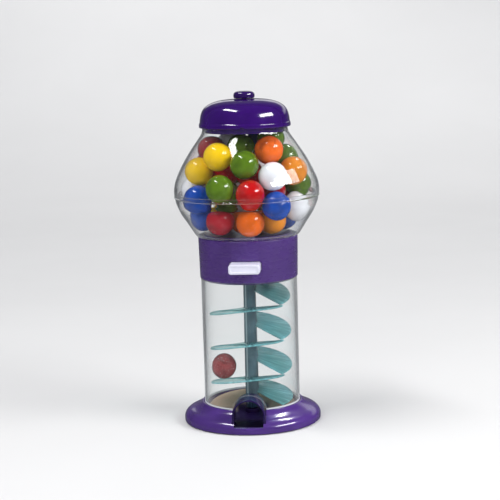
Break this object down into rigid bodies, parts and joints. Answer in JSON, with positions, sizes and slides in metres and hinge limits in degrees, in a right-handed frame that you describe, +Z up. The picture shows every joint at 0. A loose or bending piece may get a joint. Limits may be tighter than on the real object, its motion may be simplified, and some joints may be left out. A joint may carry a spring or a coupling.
{
  "type": "gumball machine",
  "caption": "Toy gumball machine: clear globe, purple push-button dispenser, clear tube with a spiral ramp and a flared base with an arched chute.",
  "frame": {"origin": "middle of the underside, on the plane the rubber feet stand on", "axes": "+Z up along the tube and the post, -Y towards the front with the push button and the chute, +X to the right seen from the front"},
  "size_m": [0.1046, 0.1046, 0.24],
  "materials": {
    "purple_plastic": "glossy purple injection-moulded plastic",
    "dark_purple_plastic": "glossy dark purple moulded plastic",
    "clear_plastic": "clear polished moulded plastic",
    "teal_plastic": "translucent pale teal plastic with radial flow streaks",
    "blue_grey_plastic": "blue-grey plastic rod",
    "white_plastic": "white moulded push button with a faint lavender cast",
    "grey_plastic": "satin grey moulded plastic",
    "smoke_plastic": "smoky brown moulded floor",
    "steel": "zinc-plated steel",
    "black_rubber": "black moulded rubber",
    "candy_dark_red": "polished sugar shell, dark red",
    "candy_yellow": "polished sugar shell, yellow",
    "candy_green": "polished sugar shell, olive green",
    "candy_orange_red": "polished sugar shell, orange red",
    "candy_orange": "polished sugar shell, orange",
    "candy_white": "polished sugar shell, white",
    "candy_red": "polished sugar shell, red",
    "candy_blue": "polished sugar shell, blue",
    "candy_crimson": "polished sugar shell, crimson",
    "candy_mixed": "polished sugar shells of mixed colours"
  },
  "bodies": {
    "machine": {"base_cover": "purple_plastic", "base_screw_1": "steel", "base_screw_2": "steel", "base_screw_3": "steel", "base_shell": "purple_plastic", "center_post": "blue_grey_plastic", "chute_hood": "dark_purple_plastic", "collector_floor": "smoke_plastic", "dispenser_floor": "purple_plastic", "dispenser_housing": "purple_plastic", "floor_screw_1": "steel", "floor_screw_2": "steel", "floor_screw_3": "steel", "globe_lower": "clear_plastic", "globe_upper": "clear_plastic", "gumball_01_dark_red": "candy_dark_red", "gumball_02_yellow": "candy_yellow", "gumball_03_yellow": "candy_yellow", "gumball_04_green": "candy_green", "gumball_05_green": "candy_green", "gumball_06_orange_red": "candy_orange_red", "gumball_07_green": "candy_green", "gumball_08_orange": "candy_orange", "gumball_09_green": "candy_green", "gumball_10_white": "candy_white", "gumball_11_green": "candy_green", "gumball_12_red": "candy_red", "gumball_13_blue": "candy_blue", "gumball_14_blue": "candy_blue", "gumball_15_white": "candy_white", "gumball_16_crimson": "candy_crimson", "gumball_17_orange": "candy_orange", "gumball_18_orange": "candy_orange", "gumball_19_white": "candy_white", "gumball_20_white": "candy_white", "gumball_21_blue": "candy_blue", "gumball_22_green": "candy_green", "gumball_23_yellow": "candy_yellow", "gumball_fill": "candy_mixed", "hopper_funnel": "purple_plastic", "post_bottom_screw": "steel", "post_top_screw": "steel", "return_spring_left": "steel", "return_spring_right": "steel", "rubber_foot_1": "black_rubber", "rubber_foot_2": "black_rubber", "rubber_foot_3": "black_rubber", "rubber_foot_4": "black_rubber", "spiral_ramp": "teal_plastic", "spiral_tube": "clear_plastic"},
    "lid": {"lid_cap": "purple_plastic", "lid_knob": "dark_purple_plastic", "lid_knob_screw": "steel"},
    "button": {"press_button": "white_plastic", "gumball_shuttle": "grey_plastic", "gumball_in_shuttle": "candy_yellow"},
    "rolling_gumball": {"gumball_on_ramp": "candy_crimson"}
  },
  "joints": [
    {"name": "button_press", "type": "slide", "parent": "machine", "child": "button", "axis": [0, 1, 0], "range_m": [0, 0.012], "stiffness_N_per_m": 150, "deforming": ["return_spring_left", "return_spring_right"]},
    {"name": "lid_lift", "type": "slide", "parent": "machine", "child": "lid", "axis": [0, 0, 1], "range_m": [0, 0.06]},
    {"name": "gumball_roll", "type": "hinge", "parent": "machine", "child": "rolling_gumball", "pos_m": [-0.0204, 0, 0.0388], "axis": [1, 0, 0], "continuous": true}
  ]
}
